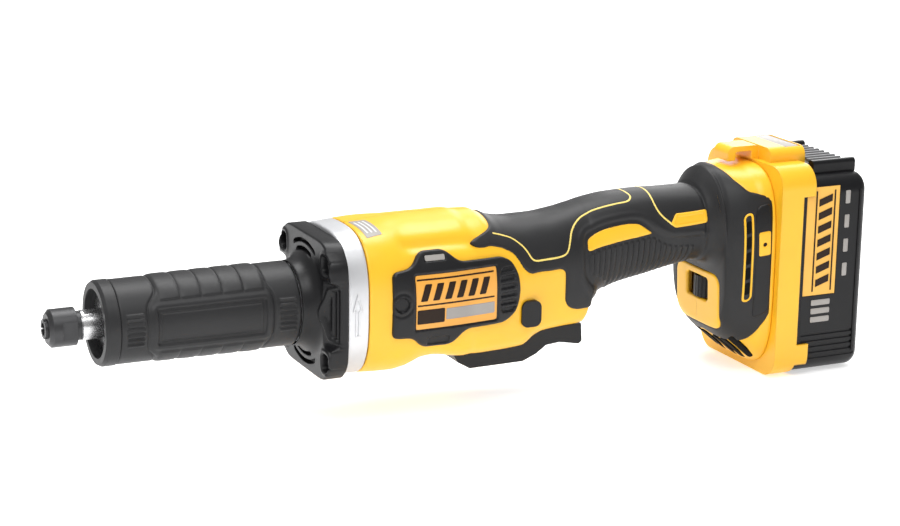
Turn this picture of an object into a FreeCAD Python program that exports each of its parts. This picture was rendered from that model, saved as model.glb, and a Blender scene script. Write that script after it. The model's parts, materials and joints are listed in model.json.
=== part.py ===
import FreeCAD, Part
import math
import os

# Cordless die grinder: collet nose, rubber grip, motor, paddle handle, foot with a slide-on battery pack.
# Origin at the collet mouth on the spindle axis, +X towards the battery, +Z up, millimetres.

os.makedirs("parts", exist_ok=True)
V = FreeCAD.Vector
AXIS_X = V(1, 0, 0)
AXIS_Y = V(0, 1, 0)
AXIS_Z = V(0, 0, 1)

# ---- driving dimensions ----
SHANK_R = 3.0            # 6 mm tool shank
COLLET_LEN = 24.0
NUT_R = 9.1
NUT_FLAT = 8.0           # half of the 16 mm wrench size
THREAD_R = 6.0
SPINDLE_R = 7.35
SPINDLE_FLAT = 6.2
NOSE_X0 = 24.4
NOSE_X1 = 31.3
NOSE_R = 20.5
GRIP_X1 = 120.5
GRIP_R0 = 20.3
GRIP_R1 = 21.0
NECK_R = 17.5
FLANGE_X0 = 131.0
RING_X0 = 137.0
BODY_X0 = 149.8
FOOT_X0 = 378.5
FOOT_X1 = 391.8
FOOT_HALF = 37.2
FOOT_TOP = 52.2
FOOT_BOTTOM = -60.0
PACK_X0 = 392.0
PACK_X1 = 432.7
PACK_HALF = 35.6
PACK_TOP = 46.0
PACK_BOTTOM = -59.4
SKIN = 1.3               # rubber overmould thickness
WALL = 3.0               # clamshell wall
GAP = 0.1                # parting gap between moulded pieces
SPLIT = 0.04             # half of the gap at the clamshell's middle plane
RUN = 0.05               # radial running clearance

# x, top, bottom, half width, squareness of the body section
BODY = [
    (149.8, 39.6, -39.6, 34.2, 2.9),
    (160.0, 39.5, -40.6, 34.9, 2.9),
    (172.0, 39.3, -41.0, 35.2, 2.9),
    (181.0, 39.3, -40.4, 35.2, 2.9),
    (187.0, 39.4, -37.6, 35.1, 2.8),
    (191.5, 39.4, -32.6, 35.0, 2.8),
    (197.0, 39.5, -31.2, 34.7, 2.7),
    (207.0, 39.6, -31.0, 33.8, 2.6),
    (218.0, 39.0, -31.0, 32.2, 2.6),
    (223.0, 36.4, -31.0, 31.2, 2.5),
    (229.0, 34.2, -30.9, 29.8, 2.5),
    (240.0, 32.9, -29.8, 27.4, 2.5),
    (248.0, 33.0, -25.0, 25.8, 2.4),
    (257.0, 33.3, -22.0, 24.2, 2.4),
    (266.0, 34.6, -21.6, 22.9, 2.4),
    (275.0, 36.5, -21.8, 21.8, 2.4),
    (287.0, 39.0, -22.0, 20.7, 2.4),
    (290.0, 39.4, -18.5, 20.5, 2.4),
    (293.5, 39.8, -12.8, 20.3, 2.4),
    (300.0, 40.3, -9.8, 20.0, 2.4),
    (318.0, 40.6, -7.0, 19.6, 2.4),
    (332.0, 40.2, -3.8, 19.6, 2.4),
    (339.5, 40.2, -2.4, 20.2, 2.5),
    (342.0, 45.6, -2.6, 23.6, 2.6),
    (345.0, 49.8, -3.0, 26.6, 2.8),
    (349.0, 51.6, -3.6, 29.0, 3.0),
    (351.6, 52.0, -5.5, 30.0, 3.1),
    (353.2, 52.0, -33.0, 30.6, 3.4),
    (355.5, 52.0, -37.5, 31.2, 3.5),
    (366.0, 51.8, -47.0, 32.6, 3.7),
    (376.0, 51.6, -55.0, 33.6, 3.9),
    (384.0, 51.6, -59.4, 34.4, 4.0),
    (390.0, 51.6, -59.8, 34.8, 4.0),
]


def tube(x0, x1, outer, inner=0.0, y=0.0, z=0.0):
    solid = Part.makeCylinder(outer, x1 - x0, V(x0, y, z), AXIS_X)
    if inner > 0:
        solid = solid.cut(Part.makeCylinder(inner, x1 - x0 + 2, V(x0 - 1, y, z), AXIS_X))
    return solid


def cone(x0, x1, r0, r1):
    return Part.makeCone(r0, r1, x1 - x0, V(x0, 0, 0), AXIS_X)


def box(x0, x1, y0, y1, z0, z1):
    return Part.makeBox(x1 - x0, y1 - y0, z1 - z0, V(x0, y0, z0))


def rod(p, q, r):
    d = V(*q).sub(V(*p))
    return Part.makeCylinder(r, d.Length, V(*p), d)


def plate_y(points, y0, y1):
    wire = Part.makePolygon([V(x, y0, z) for x, z in points] + [V(points[0][0], y0, points[0][1])])
    return Part.Face(wire).extrude(V(0, y1 - y0, 0))


def round_box(x0, x1, y0, y1, z0, z1, r, axis):
    solid = box(x0, x1, y0, y1, z0, z1)
    edges = []
    for e in solid.Edges:
        d = e.tangentAt(e.FirstParameter)
        if abs(d.dot(axis)) > 0.99:
            edges.append(e)
    return solid.makeFillet(r, edges)


def fuse(shapes):
    result = shapes[0]
    if len(shapes) > 1:
        result = result.multiFuse(shapes[1:])
    return result.removeSplitter()


def spin_copies(shape, count, start=0.0):
    copies = []
    for i in range(count):
        c = shape.copy()
        c.rotate(V(0, 0, 0), AXIS_X, start + 360.0 * i / count)
        copies.append(c)
    return copies


def mirror_y(shape):
    return shape.mirror(V(0, 0, 0), AXIS_Y)


def ellipse_points(x, top, bottom, half, power, start, end, count):
    pts = []
    mid = (top + bottom) / 2
    tall = (top - bottom) / 2
    for i in range(count):
        t = start + (end - start) * i / (count - 1)
        c = math.cos(t)
        s = math.sin(t)
        r = (abs(c) ** power + abs(s) ** power) ** (-1 / power)
        pts.append(V(x, half * r * c, mid + tall * r * s))
    return pts


def section(x, top, bottom, half, power):
    pts = ellipse_points(x, top, bottom, half, power, 0, 2 * math.pi, 25)
    curve = Part.BSplineCurve()
    curve.interpolate(Points=pts[:-1], PeriodicFlag=True)
    return Part.Wire([curve.toShape()])


def profile(x, col):
    x = min(max(x, BODY[0][0]), BODY[-1][0])
    for i in range(len(BODY) - 1):
        if x <= BODY[i + 1][0]:
            t = (x - BODY[i][0]) / (BODY[i + 1][0] - BODY[i][0])
            return BODY[i][col] + t * (BODY[i + 1][col] - BODY[i][col])
    return BODY[-1][col]


def rubber_step(x):
    t = min(max((x - 200.0) / 8.0, 0.0), 1.0)
    return SKIN * t


def offset_row(x, d):
    """Top, bottom and half width at x of the clamshell surface moved out by d (in where d is negative)."""
    reach = abs(d)
    sign = 1 if d > 0 else -1
    best = [None, None, None]
    for k in range(-8, 9):
        dx = reach * k / 8.0
        rise = math.sqrt(max(reach * reach - dx * dx, 0.0)) * sign
        step = rubber_step(x + dx)
        values = (
            profile(x + dx, 1) - step + rise,
            -(profile(x + dx, 2) + step - rise),
            profile(x + dx, 3) - step + rise,
        )
        for j in range(3):
            v = values[j]
            if best[j] is None or (v - best[j]) * sign > 0:
                best[j] = v
    return best[0], -best[1], best[2], profile(x, 4)


def half_ring(side, x, d_out, d_in):
    """Closed wire round one half of the wall between two offsets at x."""
    y0 = SPLIT * side
    wires = []
    start = -math.pi / 2
    loops = []
    for d in (d_out, d_in):
        top, bottom, half, power = offset_row(x, d)
        pts = ellipse_points(x, top, bottom, half, power, start, -start, 15)
        pts = [V(p.x, side * max(p.y, SPLIT), p.z) for p in pts]
        curve = Part.BSplineCurve()
        curve.interpolate(Points=pts)
        loops.append((curve, pts))
    outer_curve, outer_pts = loops[0]
    inner_curve, inner_pts = loops[1]
    e1 = outer_curve.toShape()
    e2 = Part.makeLine(outer_pts[-1], inner_pts[-1])
    e3 = inner_curve.toShape()
    e4 = Part.makeLine(inner_pts[0], outer_pts[0])
    return Part.Wire([e1, e2, e3, e4])


def half_shell(side, x_list, d_out, d_in):
    return Part.makeLoft([half_ring(side, x, d_out, d_in) for x in x_list], True, True)


def stations(x0, x1):
    xs = sorted(set([row[0] for row in BODY] + [212.0, 234.5, 281.0, 309.0, 325.0, 336.0, 354.4, 356.6, 358.8, 371.0]))
    return [x0] + [x for x in xs if x0 + 0.6 < x < x1 - 0.6] + [x1]


def save(name, shape):
    if not shape.isValid():
        shape.fix(0.01, 0.01, 0.01)
    shape.exportStep("parts/" + name + ".step")
    print(name, "solids", len(shape.Solids), "valid", shape.isValid(), "volume", round(shape.Volume, 1))


# ---- collet, nut and spindle ----
collet = fuse([tube(0, 6.2, 4.65), tube(6.2, 8.6, 5.3), cone(8.6, COLLET_LEN, 4.6, 3.9)])
collet = collet.cut(tube(-1, COLLET_LEN + 1, SHANK_R))
slit = box(-1, 18, -0.35, 0.35, 0, 8)
for c in spin_copies(slit, 3, 20):
    collet = collet.cut(c)
save("collet", collet)

nut = fuse([cone(1.5, 3.2, 7.2, NUT_R), tube(3.2, 14.6, NUT_R), tube(14.6, 17.0, 6.9)])
nut = nut.cut(tube(0, 6.1, 4.65 + RUN)).cut(tube(6.0, 18, THREAD_R + RUN))
for side in (-1, 1):
    flat = box(7.4, 14.7, NUT_FLAT, 12, -12, 12)
    if side < 0:
        flat = mirror_y(flat)
    nut = nut.cut(flat)
save("collet_nut", nut)

spindle = fuse([
    tube(9.6, 17.4, THREAD_R), tube(17.4, 33.0, SPINDLE_R), tube(33.0, 108.0, 6.0),
    tube(108.0, 222.0, 5.0), tube(222.0, 231.0, 4.0), tube(33.0, 35.8, 7.4),
])
spindle = spindle.cut(cone(9.0, COLLET_LEN + 2, 4.66 + 0.03, 3.96)).cut(tube(COLLET_LEN + 1, 60, 3.5))
for side in (-1, 1):
    flat = box(18.6, 29.4, -9, 9, SPINDLE_FLAT, 9)
    if side < 0:
        flat = flat.mirror(V(0, 0, 0), AXIS_Z)
    spindle = spindle.cut(flat)
save("spindle", spindle)


# ---- ball bearings ----
def bearing(name, x0, width, r_in, r_out, balls):
    r_mid = (r_in + r_out) / 2
    r_ball = (r_out - r_in) * 0.28
    xm = x0 + width / 2
    groove = Part.makeTorus(r_mid, r_ball + RUN, V(xm, 0, 0), AXIS_X)
    gap = r_ball * 0.55
    inner = tube(x0, x0 + width, r_mid - gap, r_in).cut(groove)
    outer = tube(x0, x0 + width, r_out, r_mid + gap).cut(groove)
    save(name + "_inner", inner)
    save(name + "_outer", outer)
    ball = Part.makeSphere(r_ball, V(xm, 0, r_mid))
    return spin_copies(ball, balls)


all_balls = bearing("front_bearing", 36.0, 8.0, 6.02, 14.0, 9)
all_balls += bearing("middle_bearing", 108.6, 8.0, 5.02, 13.0, 8)
all_balls += bearing("rear_bearing", 222.4, 7.0, 4.02, 11.0, 7)
save("bearing_balls", Part.makeCompound(all_balls))

# ---- nose: neck tube, retainer, ring and rubber grip ----
neck = tube(32.3, 131.0, NECK_R, 15.0)
neck = fuse([neck, tube(34.0, 46.5, NECK_R, 14.02), tube(44.2, 46.5, NECK_R, 11.5)])
neck = fuse([neck, tube(106.0, 118.0, NECK_R, 13.02), tube(106.0, 108.4, NECK_R, 10.5)])
neck = fuse([neck, tube(125.0, 130.9, 20.0, 15.0)])
save("neck_housing", neck)

retainer = tube(29.6, 32.2, 16.6, 8.4)
screw_spots = [40, 160, 280]
for a in screw_spots:
    y = 13.0 * math.cos(math.radians(a))
    z = 13.0 * math.sin(math.radians(a))
    retainer = retainer.cut(tube(29, 33, 1.15, 0, y, z))
save("bearing_retainer", retainer)

heads = []
for a in screw_spots:
    y = 13.0 * math.cos(math.radians(a))
    z = 13.0 * math.sin(math.radians(a))
    head = fuse([tube(27.9, 29.5, 2.0, 0, y, z), tube(29.5, 32.1, 1.0, 0, y, z)])
    heads.append(head.cut(tube(27, 28.9, 0.9, 0, y, z)))

nose_ring = fuse([cone(24.4, 26.0, 19.6, NOSE_R), tube(26.0, NOSE_X1, NOSE_R)])
nose_ring = nose_ring.cut(cone(24.0, 29.4, 16.6, 15.9)).cut(tube(28, 32, 16.7))
save("nose_ring", nose_ring)

grip = fuse([cone(NOSE_X1 + GAP, GRIP_X1, GRIP_R0, GRIP_R1)])
grip = grip.cut(tube(31, 121, NECK_R + 0.05))
for side in (-1, 1):
    recess = round_box(50, 104, 19.6, 24, -9.5, 9.5, 2.5, AXIS_Y)
    if side < 0:
        recess = mirror_y(recess)
    grip = grip.cut(recess)
for up in (-1, 1):
    for i in range(5):
        x = 57.5 + 10.3 * i
        groove_ring = tube(x - 2.9, x + 2.9, 25, 19.75)
        cutter = box(x - 3, x + 3, -15.8, 15.8, 12.5, 26)
        if up < 0:
            cutter = cutter.mirror(V(0, 0, 0), AXIS_Z)
        grip = grip.cut(groove_ring.common(cutter))
save("nose_grip", grip)

# ---- exhaust flange and silver field ring ----
octagon = [(-34.2, -24), (-22, -38.6), (22, -38.6), (34.2, -24), (34.2, 24), (22, 38.6), (-22, 38.6), (-34.2, 24)]


def octagon_prism(x0, x1, shrink):
    pts = []
    for y, z in octagon:
        k = 1 - shrink / 36.0
        pts.append(V(x0, y * k, z * k))
    face = Part.Face(Part.makePolygon(pts + [pts[0]]))
    solid = face.extrude(V(x1 - x0, 0, 0))
    edges = [e for e in solid.Edges if abs(e.tangentAt(0).x) > 0.99]
    return solid.makeFillet(5.0, edges)


flange = fuse([cone(120.7, FLANGE_X0, 21.0, 27.5), octagon_prism(FLANGE_X0, RING_X0 - GAP, 0.0)])
flange = flange.cut(tube(120, 125.0, NECK_R + 0.05)).cut(tube(124.9, 131.0, 20.05)).cut(tube(131, 134.0, 15.0))
flange = flange.cut(tube(133.9, 138, 30.0))
vent = tube(130, 135, 28.6, 24.4)
for up in (0, 180):
    wedge = plate_y([(130, 0), (135, 0), (135, 40), (130, 40)], -11, 11)
    wedge.rotate(V(0, 0, 0), AXIS_X, up)
    flange = flange.cut(vent.common(wedge))
for side in (90, 270):
    for k in (-1, 0, 1):
        slot = box(130, 134.5, -8, 8, 24.3 + 2.6 * (k + 1), 25.6 + 2.6 * (k + 1))
        slot.rotate(V(0, 0, 0), AXIS_X, side)
        flange = flange.cut(slot)
corner_spots = [(-27.0, -27.5), (27.0, -27.5), (27.0, 27.5), (-27.0, 27.5)]
for y, z in corner_spots:
    flange = flange.cut(tube(130, 138, 1.8, 0, y, z)).cut(tube(130, 133.0, 3.4, 0, y, z))
save("exhaust_flange", flange)

screws = []
for y, z in corner_spots:
    s = fuse([tube(131.0, 133.0, 3.2, 0, y, z), tube(133.0, 147.0, 1.7, 0, y, z)])
    screws.append(s.cut(tube(130, 132.2, 1.5, 0, y, z)))
save("nose_screws", Part.makeCompound(heads + screws))

ring_out = Part.makeLoft([section(RING_X0, 39.3, -39.3, 34.2, 2.9), section(BODY_X0 - GAP, 39.5, -39.5, 34.2, 2.9)], True, True)
ring_in = Part.makeLoft([section(RING_X0 - 1, 35.6, -35.6, 30.4, 2.9), section(BODY_X0 + 1, 35.6, -35.6, 30.4, 2.9)], True, True)
ring = ring_out.cut(ring_in)
for y, z in corner_spots:
    ring = fuse([ring, tube(RING_X0, BODY_X0 - GAP, 3.6, 0, y, z).common(ring_out)])
for y, z in corner_spots:
    ring = ring.cut(tube(136, 151, 1.75, 0, y, z))
save("field_ring", ring)

# ---- motor ----
fan = fuse([tube(138.4, 141.0, 27.5, 5.02), tube(138.4, 148.0, 9.0, 5.02)])
blade = box(140.9, 147.6, -0.8, 0.8, 12.0, 27.3)
fan = fuse([fan] + spin_copies(blade, 11))
save("cooling_fan", fan)

stator = tube(160, 198, 28.0, 25.4)
tooth = fuse([box(160, 198, -3.4, 3.4, 18.0, 25.8), box(160, 198, -6.2, 6.2, 16.6, 18.4)])
bore = tube(159, 199, 16.4)
stator = fuse([stator] + spin_copies(tooth, 6)).cut(bore)
save("stator", stator)

coil = round_box(155.5, 202.5, -5.9, 5.9, 19.0, 24.6, 2.0, AXIS_Z)
coil = coil.cut(box(159.8, 198.2, -3.6, 3.6, 18, 26)).common(tube(150, 210, 25.2, 18.7))
save("windings", Part.makeCompound(spin_copies(coil, 6)))

core = tube(160, 198, 13.0, 5.02)
save("rotor_core", core)
magnet = tube(160.5, 197.5, 15.8, 13.05)
segments = []
for i in range(4):
    w = Part.makeCylinder(20, 60, V(150, 0, 0), AXIS_X, 86)
    w.rotate(V(0, 0, 0), AXIS_X, 90 * i)
    segments.append(magnet.common(w))
save("rotor_magnets", Part.makeCompound(segments))

holder = fuse([tube(212, 214.5, 26.5, 11.5), tube(214.0, 229.9, 14.0, 11.02), tube(229.6, 231.6, 14.0, 6.0)])
for c in spin_copies(tube(211, 216, 4.0, 0, 0, 20), 6, 30):
    holder = holder.cut(c)

holder = holder.cut(box(211, 215, -30, 30, -30, -22))
for y in (-6, 0, 6):
    holder = holder.cut(tube(211, 216, 1.7, 0, y, 20.5))
save("rear_bearing_holder", holder)

hall = tube(205.5, 207.1, 23.5, 9.0)
save("hall_board", hall)

# ---- clamshell housing ----
paddle_slot = box(201.2, 277.8, -13.6, 13.6, -60, -15.5)
dial_window = box(340, 362, -10.4, 10.4, -21.6, -9.2)
boss_spots = [(236.0, 6.0), (281.0, 27.5), (283.5, -13.5), (333.0, 30.0), (333.0, 6.0)]
handle_zone = [
    (206.5, 60), (206.5, 33), (208.3, 28.2), (214.0, 24.3), (223.6, 24.2), (231.8, 19.6), (238.5, 10.7),
    (242.6, 7.7), (259.9, 8.2), (261.7, 6.1), (261.7, -10.7), (263.9, -13.6), (273.2, -15.2), (276.4, -17.5),
    (278.5, -30), (340.0, -30), (350.0, -36.0), (355.4, -37.2), (361.9, -37.7),
    (367.0, -36.3), (373.0, -32.0), (376.4, -27.0), (377.0, -1.3), (376.4, 28.6), (374.3, 37.1), (368.0, 40.3),
    (361.8, 44.4), (356.1, 49.7), (351.5, 60.0),
]
cover_outline = [
    (160.5, -12.5), (160.5, 19.0), (169.5, 20.9), (174.0, 28.4), (179.4, 29.7), (187.9, 28.5), (195.8, 21.9),
    (218.7, 22.2), (226.8, 15.1), (228.7, 3.1), (225.7, -6.3), (219.4, -10.5), (198.7, -11.6), (192.4, -16.0),
    (187.0, -17.6), (176.0, -17.1), (171.4, -13.6),
]
badge_outline = [(172, -9.5), (214.5, -7.1), (214.5, 17.5), (172, 16.9)]


def side_prism(points, side, y0, y1):
    solid = plate_y(points, y0, y1)
    return solid if side > 0 else mirror_y(solid)


def largest(shape):
    return sorted(shape.Solids, key=lambda s: -s.Volume)[0]


small_screws = []
badges = []
for side, tag in ((-1, "left"), (1, "right")):
    shell = half_shell(side, stations(BODY_X0, FOOT_X0 - GAP), 0.0, -WALL)
    adds = []
    rib = side_prism([(202, -30.2), (216, -30.2), (216, -21), (202, -21)], side, 13.6, 17.0)
    adds.append(rib)
    for x, z in boss_spots:
        top, bottom, half, power = offset_row(x, -WALL)
        mid = (top + bottom) / 2
        k = (1 - min(abs(z - mid) / ((top - bottom) / 2), 0.98) ** power) ** (1 / power)
        adds.append(rod((x, SPLIT * side, z), (x, (half * k + 1.2) * side, z), 3.6))
    shell = fuse([shell] + adds)
    cuts = [paddle_slot, dial_window, rod((208.5, 12 * side, -26.5), (208.5, 20 * side, -26.5), 1.52)]
    for x, z in boss_spots:
        if side < 0:
            cuts.append(rod((x, 0.5, z), (x, -12.5, z), 1.55))
        else:
            cuts.append(rod((x, -0.5, z), (x, 50, z), 1.55))
            cuts.append(rod((x, 14, z), (x, 50, z), 3.0))
    for k in range(3):
        cuts.append(side_prism([(203 + 7 * k, -4), (207.5 + 7 * k, -4), (207.5 + 7 * k, 16), (203 + 7 * k, 16)], side, 20, 45))
    for k in range(5):
        z0 = -14.0 + 9.2 * k
        cuts.append(side_prism([(360.4, z0), (363.2, z0), (363.2, z0 + 7.4), (360.4, z0 + 7.4)], side, 22, 45))
    cuts.append(box(361, 371, min(5 * side, 15 * side), max(5 * side, 15 * side), -70, -38))
    if side < 0:
        cuts.append(round_box(234.0, 245.6, -40, -14, -18.6, -4.4, 3.8, AXIS_Y))
    for c in cuts:
        shell = shell.cut(c)
    save("housing_" + tag, largest(shell))
    print("loose", [round(s.Volume, 2) for s in shell.Solids[:6]])

    rubber = half_shell(side, stations(206.0, FOOT_X0 - 1.5), SKIN, 0.06)
    rubber = rubber.common(side_prism(handle_zone, side, -1, 60))
    rubber = rubber.cut(round_box(330.0, 360.0, -21.2, 21.2, -35.4, -5.4, 4.0, AXIS_X))
    for k in range(5):
        z0 = -14.0 + 9.2 * k
        rubber = rubber.cut(side_prism([(360.4, z0), (363.2, z0), (363.2, z0 + 7.4), (360.4, z0 + 7.4)], side, 22, 45))
    if side > 0:
        for x, z in boss_spots:
            rubber = rubber.cut(rod((x, 10, z), (x, 50, z), 3.0))
    save("overmould_" + tag, largest(rubber))
    print("loose", [round(s.Volume, 2) for s in rubber.Solids[:6]])

    if side < 0:
        module = half_shell(side, stations(363.0, 377.6), SKIN + 1.2, SKIN + 0.06)
        module = module.common(side_prism([(365.2, -24), (375.6, -24), (375.6, 36), (365.2, 36)], side, 20, 60))
        save("module_cover", largest(module))
    cover = half_shell(side, stations(158.0, 231.0), 1.5, 0.05).common(side_prism(cover_outline, side, 15, 60))
    for k in range(3):
        x0 = 219.3 + 2.9 * k
        cover = cover.cut(side_prism([(x0, -3), (x0 + 1.4, -3), (x0 + 1.4, 14), (x0, 14)], side, 20, 45))
    cover = cover.cut(rod((166, 20 * side, 3), (166, 60 * side, 3), 1.3))
    save("side_cover_" + tag, largest(cover))
    screw = fuse([rod((166, 36.8 * side, 3), (166, 38.2 * side, 3), 2.6), rod((166, 35.4 * side, 3), (166, 37.0 * side, 3), 1.2)])
    small_screws.append(screw)
    badge = half_shell(side, stations(170.0, 217.0), 1.9, 1.53).common(side_prism(badge_outline, side, 15, 60))
    badges.append(largest(badge))

bolts = []
for x, z in boss_spots:
    bolts.append(fuse([rod((x, 14.1, z), (x, 16.6, z), 2.8), rod((x, -12, z), (x, 14.1, z), 1.45)]))
save("housing_screws", Part.makeCompound(bolts + small_screws))
save("badge_plates", Part.makeCompound(badges))

# ---- foot frame: collar round the pack, crest over its top end, tether loop ----
frame = round_box(FOOT_X0, FOOT_X1, -FOOT_HALF, FOOT_HALF, FOOT_BOTTOM, FOOT_TOP, 11.0, AXIS_X)
hood = round_box(FOOT_X1 - 0.5, 399.0, -FOOT_HALF, FOOT_HALF, FOOT_BOTTOM, FOOT_TOP, 11.0, AXIS_X)
hood = hood.cut(round_box(FOOT_X1, 402.0, -35.85, 35.85, -90.0, PACK_TOP + 0.3, 9.0, AXIS_X))
hood = hood.cut(box(FOOT_X1, 402.0, -60, 60, -42.8, 36.8))
crest = round_box(382.0, 403.2, -19.0, 19.0, 40.0, 59.4, 5.0, AXIS_X)
crest = crest.cut(box(391.8, 410, -30, 30, 30, PACK_TOP + 0.3))
crest = crest.cut(box(392.5, 402.2, -15.5, 15.5, 58.6, 60))
loop = round_box(363.5, 384.0, -7.0, 7.0, 45.0, 59.4, 4.0, AXIS_Y)
loop = loop.cut(box(360.0, 379.0, -9.0, 9.0, 40.0, 52.0)).cut(box(368.0, 377.6, -9.0, 9.0, 50.0, 56.6))
loop = loop.cut(box(378.0, 390.0, -9.0, 9.0, 40.0, 51.0))
frame = fuse([frame, hood, crest, loop])
frame = frame.cut(box(383.4, 388.0, -27.2, 27.2, -80, 41.0)).cut(box(387.9, 392.2, -23.0, 23.0, -80, 41.0))
frame = frame.cut(box(FOOT_X1 - 0.01, 400, -35.85, 35.85, -90, -40))
for y in (-7, 7):
    frame = frame.cut(rod((375, y, 32), (385, y, 32), 2.5))
save("foot_frame", frame)

# ---- paddle, its pin and spring, switch and lock button ----
paddle_outline = [
    (203.2, -31.2), (206.7, -37.0), (213.2, -40.8), (242.9, -40.5), (250.3, -37.5), (256.1, -33.5),
    (263.6, -32.8), (274.7, -34.9), (276.6, -33.6), (276.0, -24.2), (203.2, -24.2),
]
paddle_hollow = [
    (206.5, -30.8), (208.7, -35.6), (213.8, -38.4), (242.4, -38.1), (249.2, -35.4), (255.4, -31.2),
    (263.8, -30.5), (273.6, -32.4), (273.6, -20.0), (206.5, -20.0),
]
paddle = plate_y(paddle_outline, -13.3, 13.3).cut(plate_y(paddle_hollow, -10.9, 10.9))
paddle = fuse([paddle, box(259.2, 264.8, -3.5, 3.5, -32.0, -24.9)])
paddle = paddle.cut(rod((208.5, -20, -26.5), (208.5, 20, -26.5), 1.55))
save("paddle", paddle)
save("paddle_pin", rod((208.5, -16.8, -26.5), (208.5, 16.8, -26.5), 1.5))


def coil(start, direction, length, radius, wire, turns):
    helix = Part.makeHelix((length - 2 * wire) / turns, length - 2 * wire, radius)
    disc = Part.Wire([Part.makeCircle(wire, V(radius, 0, 0), V(0, 1, 0.1))])
    spring = Part.Wire(helix.Edges).makePipeShell([disc], True, True)
    spring.translate(V(0, 0, wire))
    if abs(direction.y) > 0.5:
        spring.rotate(V(0, 0, 0), AXIS_X, -90 * direction.y)
    if abs(direction.x) > 0.5:
        spring.rotate(V(0, 0, 0), AXIS_Y, 90 * direction.x)
    spring.translate(V(*start))
    return spring


save("paddle_spring", coil((245.0, 0, -35.4), AXIS_Z, 17.2, 2.4, 0.45, 6))
body = box(249, 275, -9, 9, -16, 0).cut(box(258.8, 265.2, -3.2, 3.2, -17, -8))
guide = box(235.5, 249.5, -11.5, -8.5, -17, -5).cut(rod((239.8, -13, -11.5), (239.8, -7, -11.5), 2.25))
ledge = box(241.0, 249.5, -4, 4, -18, -14.2)
save("switch_body", fuse([body, guide, ledge]))
save("switch_plunger", box(259, 265, -3, 3, -24.4, -12))
cap = round_box(234.4, 245.2, -28.4, -20.0, -18.2, -4.8, 3.6, AXIS_Y)
save("lock_button", fuse([cap, rod((239.8, -20.5, -11.5), (239.8, -4.0, -11.5), 2.2)]))
save("lock_spring", coil((239.8, -19.9, -11.5), AXIS_Y, 8.2, 3.0, 0.4, 4))

# ---- speed dial, electronics and wiring ----
dial = Part.makeCylinder(9.0, 11.4, V(360.6, 0, -21.1))
for i in range(24):
    a = 2 * math.pi * i / 24
    x = 360.6 + 9.1 * math.cos(a)
    y = 9.1 * math.sin(a)
    dial = dial.cut(Part.makeCylinder(0.55, 20, V(x, y, -25)))
dial = fuse([dial, Part.makeCylinder(2.0, 18.4, V(360.6, 0, -24.6))])
save("speed_dial", dial)
base = box(356.9, 368.0, -9, 9, -28.6, -22.0).cut(Part.makeCylinder(2.05, 4, V(360.6, 0, -25.0)))
base = fuse([base, box(366.0, 368.0, 9.2, 11.0, -28.6, -3.0), box(366.0, 368.0, 0, 11.0, -28.6, -26.0)])
save("dial_base", base)
board = box(362.0, 363.6, -21, 21, 2, 42)
save("controller_board", board)
sink = box(363.7, 366.2, -19, 19, 4, 27)
fins = [box(366.0, 375.0, -19 + 5.2 * i, -17 + 5.2 * i, 4, 27) for i in range(8)]
save("heat_sink", fuse([sink] + fins))
save("capacitor", rod((346.5, 0, 35), (361.9, 0, 35), 5.5))
leads = [rod((207.3, y, 20.5), (361.9, y, 20.5), 1.3) for y in (-6, 0, 6)]
leads += [rod((363.7, y, 32), (383.6, y, 32), 1.6) for y in (-7, 7)]
save("leads", Part.makeCompound(leads))
save("terminal_block", box(383.7, 391.4, -15, 15, 22.0, 40.6))
blades = [box(385.2, 390.6, y - 0.4, y + 0.4, 6.5, 21.9) for y in (-12, -4, 4, 12)]
save("terminal_blades", Part.makeCompound(blades))

# ---- battery pack ----
POST_TOP = 39.6
CELL_LOW = -46.6
CELL_PITCH = 18.5
POST_LOW = CELL_LOW + CELL_PITCH / 2
case = round_box(394.0, PACK_X1, -PACK_HALF, PACK_HALF, PACK_BOTTOM, PACK_TOP, 9.5, AXIS_X)
rear_edges = [e for e in case.Edges if all(abs(v.X - PACK_X1) < 0.01 for v in e.Vertexes) and e.BoundBox.XLength < 0.01]
case = case.makeFillet(5.0, rear_edges)
case = case.cut(round_box(393.0, 430.7, -33.4, 33.4, -57.3, 43.8, 3.8, AXIS_X))
for side in (-1, 1):
    bar = round_box(404.0, 430.0, 21.0, 26.0, 44.5, 52.6, 2.0, AXIS_X)
    bar = bar if side > 0 else mirror_y(bar)
    case = fuse([case, bar])
    pocket = box(394.8, 415.0, 35.1, 37.0, -17.2, 41.2)
    case = case.cut(pocket if side > 0 else mirror_y(pocket))
    for i in range(6):
        groove = box(395.0, 429.0, 34.9, 37.0, -39.0 - 3.2 * i, -37.6 - 3.2 * i)
        case = case.cut(groove if side > 0 else mirror_y(groove))
case = case.cut(box(403.6, 429.4, -20.3, 20.3, 43, 60))
case = case.cut(rod((431.1, 0, -20), (440, 0, -20), 4.1))
for side in (-1, 1):
    post = rod((394.0, 28, POST_TOP), (431.0, 28, POST_TOP), 3.0)
    short = rod((394.0, 28, POST_LOW), (397.0, 28, POST_LOW), 2.1)
    web = box(394.0, 397.0, 28, 34.0, POST_LOW - 1.2, POST_LOW + 1.2)
    posts = fuse([short, web]).cut(rod((393.0, 28, POST_LOW), (398, 28, POST_LOW), 1.2))
    post = post.cut(rod((393.0, 28, POST_TOP), (412, 28, POST_TOP), 1.2))
    for piece in (post, posts):
        case = fuse([case, piece if side > 0 else mirror_y(piece)])
save("pack_case", case)

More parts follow.
